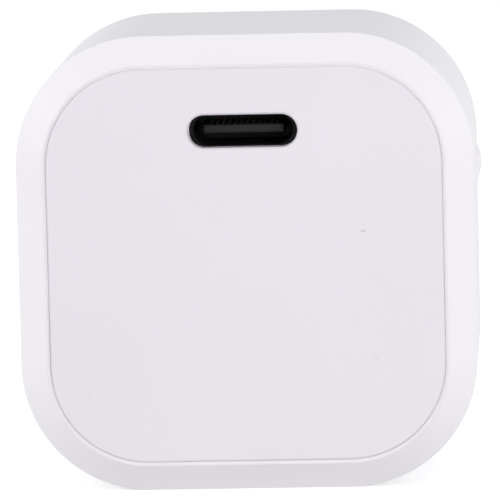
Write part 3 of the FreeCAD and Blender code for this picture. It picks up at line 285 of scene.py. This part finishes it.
def calculate(tree, operation, first, second):
    """The result of a mathematical operation on two values."""
    return add_node(tree, "Math", {0: first, 1: second}, operation=operation).outputs[0]


def blended(tree, share, first, second):
    """A colour between two colours or sockets."""
    item = add_node(tree, "Mix", {MIX_SHARE: share}, data_type="RGBA")
    for index, value in ((MIX_FIRST, first), (MIX_SECOND, second)):
        colour = value if isinstance(value, bpy.types.NodeSocket) else (*value, 1)
        connect(tree, colour, item.inputs[index])
    return item.outputs[MIX_RESULT]


def main_shader(paint):
    """The node that shades a material."""
    return paint.node_tree.nodes["Principled BSDF"]


def recolour(paint, share, tone):
    """Lay a tone over a material's colour, by a share from 0 to 1."""
    tree = paint.node_tree
    socket = main_shader(paint).inputs["Base Color"]
    tree.links.new(blended(tree, share, socket.links[0].from_socket, tone), socket)


def make_paint(name, colour, other, roughness, metallic=0.0, cloud=8 * MM, grain=0.12 * MM,
               stretch=EVEN, bump=0.05, coat=0.0, edge=0.0, shine=0.5):
    """A material with clouds of two close colours, uneven gloss and a fine surface grain.

    Its sharp edges look slightly round where an edge radius is given.
    """
    paint = bpy.data.materials.new(name)
    paint.use_nodes = True
    tree = paint.node_tree
    shader = main_shader(paint)
    where = coordinates(tree, stretch)
    clouds = noise(tree, where, cloud)
    tree.links.new(blended(tree, spread(tree, clouds, 0, 1), colour, other),
                   shader.inputs["Base Color"])
    fine = noise(tree, where, grain, GRAIN_DETAIL)
    tree.links.new(spread(tree, fine, *roughness), shader.inputs["Roughness"])
    shader.inputs["Metallic"].default_value = metallic
    shader.inputs["Coat Weight"].default_value = coat
    shader.inputs["Specular IOR Level"].default_value = shine
    relief = add_node(tree, "Bump", {"Height": fine, "Strength": bump, "Distance": GRAIN_DEPTH})
    if edge:
        eased = add_node(tree, "Bevel", {"Radius": edge}, samples=EDGE_SAMPLES)
        tree.links.new(eased.outputs["Normal"], relief.inputs["Normal"])
    tree.links.new(relief.outputs["Normal"], shader.inputs["Normal"])
    return paint


def set_off_front(paint):
    """Make the housing's edges crisp in front, and its flat lip like the plate."""
    tree = paint.node_tree
    place = depth_place(tree)
    bevel = next(node for node in tree.nodes if node.bl_idname == "ShaderNodeBevel")
    tree.links.new(spread(tree, place, CRISP_EDGE, EASED_EDGE, FRONT + CRISP_DEPTH,
                          FRONT + EASED_DEPTH), bevel.inputs["Radius"])
    recolour(paint, calculate(tree, "LESS_THAN", place, FRONT + LIP_DEPTH), LIP_TONE)


def add_flecks(paint):
    """Lay short dark fibres on the plate."""
    tree = paint.node_tree
    for across, up, length in FLECKS:
        scale = Vector((1, 0, FLECK_SLIMNESS)) / length
        where = add_node(tree, "Mapping", {
            "Vector": coordinates(tree), "Scale": scale,
            "Location": (-across * scale.x, 0, -up * scale.z)}).outputs["Vector"]
        away = add_node(tree, "VectorMath", {0: where}, operation="LENGTH").outputs["Value"]
        recolour(paint, spread(tree, away, FLECK_SHARE, 0, FLECK_CORE, FLECK_RIM), FLECK_TONE)


def cover_contacts(paint):
    """Darken the contacts' front ends, which lie under the tongue's black moulding."""
    tree = paint.node_tree
    covered = calculate(tree, "LESS_THAN", depth_place(tree), FRONT + MOULDING_DEPTH)
    recolour(paint, covered, MOULDING_TONE)
    tree.links.new(spread(tree, covered, 1, 0, 0, 1), main_shader(paint).inputs["Metallic"])


def add_bands(paint, pitch, tone, depth):
    """Lay close lines across the Y axis, such as the turns of a winding, with painted shade between
    them.
    """
    tree = paint.node_tree
    inputs = {"Vector": coordinates(tree), "Scale": WAVE_LENGTH / pitch, **BAND_WAVER}
    turns = add_node(tree, "TexWave", inputs, bands_direction="Y").outputs["Fac"]
    # Painted shade: the darker tone lies in the grooves between the turns.
    recolour(paint, spread(tree, turns, 1, 0, 0, BAND_SHADE_REACH), tone)
    relief = add_node(tree, "Bump", {"Height": turns, "Strength": BAND_STRENGTH, "Distance": depth})
    tree.links.new(relief.outputs["Normal"], main_shader(paint).inputs["Normal"])


def add_tracks(paint):
    """Lay a circuit board's tracks under its lacquer, and tinned pads here and there."""
    tree = paint.node_tree
    where = coordinates(tree)
    tracks = add_node(tree, "TexVoronoi", {"Vector": where, "Scale": 1 / TRACK_CELL},
                      feature="DISTANCE_TO_EDGE").outputs["Distance"]
    recolour(paint, spread(tree, tracks, 1, 0, *TRACK_REACH), TRACK_GREEN)
    pads = add_node(tree, "TexVoronoi", {"Vector": where, "Scale": 1 / PAD_CELL},
                    distance="CHEBYCHEV").outputs["Distance"]
    pad = calculate(tree, "LESS_THAN", pads, PAD_REACH)
    recolour(paint, pad, PAD_TIN)
    tree.links.new(pad, main_shader(paint).inputs["Metallic"])


def make_materials():
    """Each material slot's finish, by the slot's name."""
    paints = {name: make_paint(name, **look) for name, look in FINISHES.items()}
    set_off_front(paints["housing_white"])
    add_flecks(paints["plate_white"])
    cover_contacts(paints["contact_gold"])
    add_tracks(paints["board_green"])
    for name, band in BANDS.items():
        add_bands(paints[name], *band)
    return paints


def dress_nodes(paints):
    """Each CAD node takes the material of its slot in the record."""
    for node in NODES.values():
        for slot in node.material_slots:
            slot.material = paints[slot.material.name]


def rounded_square(half, corner):
    """Points round a square with round corners, from its right-hand side on."""
    points = []
    for turn in range(4):
        middle = Matrix.Rotation(turn * math.pi / 2, 2) @ Vector((half - corner, half - corner))
        for step in range(CORNER_STEPS + 1):
            angle = (turn + step / CORNER_STEPS) * math.pi / 2
            points.append(middle + Vector((math.cos(angle), math.sin(angle))) * corner)
    return points


def make_seam_ledge(paints):
    """The housing's ledge that closes the seam round the front plate a little below it."""
    half = FACE_MIDDLE.z - WALL
    corner = BODY_CORNER - WALL
    outer = rounded_square(half + LEDGE_OUT, corner + LEDGE_OUT)
    inner = rounded_square(half - LEDGE_IN, corner - LEDGE_IN)
    front = FRONT + LEDGE_DEEP
    rear = front + LEDGE_THICK
    mesh = bmesh.new()
    loops = []
    for points, place in ((inner, front), (outer, front), (outer, rear), (inner, rear)):
        loops.append([mesh.verts.new((point.x, place, FACE_MIDDLE.z + point.y))
                      for point in points])
    count = len(inner)
    for first, second in zip(loops, loops[1:] + loops[:1]):
        for index in range(count):
            following = (index + 1) % count
            mesh.faces.new((first[index], second[index], second[following], first[following]))
    bmesh.ops.recalc_face_normals(mesh, faces=mesh.faces)
    data = bpy.data.meshes.new("seam_ledge")
    mesh.to_mesh(data)
    mesh.free()
    data.materials.append(paints["seam_white"])
    ledge = add_object("seam_ledge", data)
    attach(ledge, "case")


def seen_or_reflected(tree):
    """1 where a ray comes from the camera, a mirror or glass, and 0 for the lighting."""
    path = add_node(tree, "LightPath").outputs
    mirrored = calculate(tree, "MAXIMUM", path["Is Camera Ray"], path["Is Glossy Ray"])
    return calculate(tree, "MAXIMUM", mirrored, path["Is Transmission Ray"])


def add_world():
    """A white surround for the camera, with a soft pale light that is dimmer overhead."""
    world = bpy.data.worlds.new("world")
    world.use_nodes = True
    bpy.context.scene.world = world
    tree = world.node_tree
    towards = add_node(tree, "TexCoord").outputs["Generated"]
    parts = add_node(tree, "SeparateXYZ", {"Vector": towards}).outputs
    rise = spread(tree, parts["Z"], 0, 1, 0, 1)
    behind = spread(tree, parts["Y"], 0, 1, REAR_START, REAR_FULL)
    dome = blended(tree, behind, blended(tree, rise, LEVEL_LIGHT, OVERHEAD_LIGHT), REAR_LIGHT)
    colour = blended(tree, seen_or_reflected(tree), dome, WHITE)
    tree.links.new(colour, tree.nodes["Background"].inputs["Color"])


def add_floor():
    """A plain white floor that keeps the object's shadow."""
    corners = [(-1, -1), (1, -1), (1, 1), (-1, 1)]
    mesh = bpy.data.meshes.new("floor")
    mesh.from_pydata([(x * FLOOR_HALF, y * FLOOR_HALF, 0) for x, y in corners], [],
                     [(0, 1, 2, 3)])
    paint = bpy.data.materials.new("floor_white")
    paint.use_nodes = True
    tree = paint.node_tree
    inputs = main_shader(paint).inputs
    inputs["Base Color"].default_value = (*FLOOR_COLOUR, 1)
    inputs["Roughness"].default_value = FLOOR_ROUGHNESS
    inputs["Emission Color"].default_value = (*WHITE, 1)
    tree.links.new(spread(tree, seen_or_reflected(tree), 0, FLOOR_GLOW, 0, 1),
                   inputs["Emission Strength"])
    mesh.materials.append(paint)
    add_object("floor", mesh)


def add_lamps():
    """Large soft square lamps on each side in front, which face the object."""
    for name, place, size, power in LAMPS:
        data = bpy.data.lights.new(name, "AREA")
        data.size = size
        data.energy = power
        lamp = add_object(name, data)
        lamp.location = place
        lamp.rotation_euler = (LAMP_AIM - Vector(place)).to_track_quat("-Z", "Y").to_euler()


bpy.context.scene.view_settings.view_transform = "Standard"
add_camera()
add_world()
add_floor()
add_lamps()
materials = make_materials()
dress_nodes(materials)
make_seam_ledge(materials)
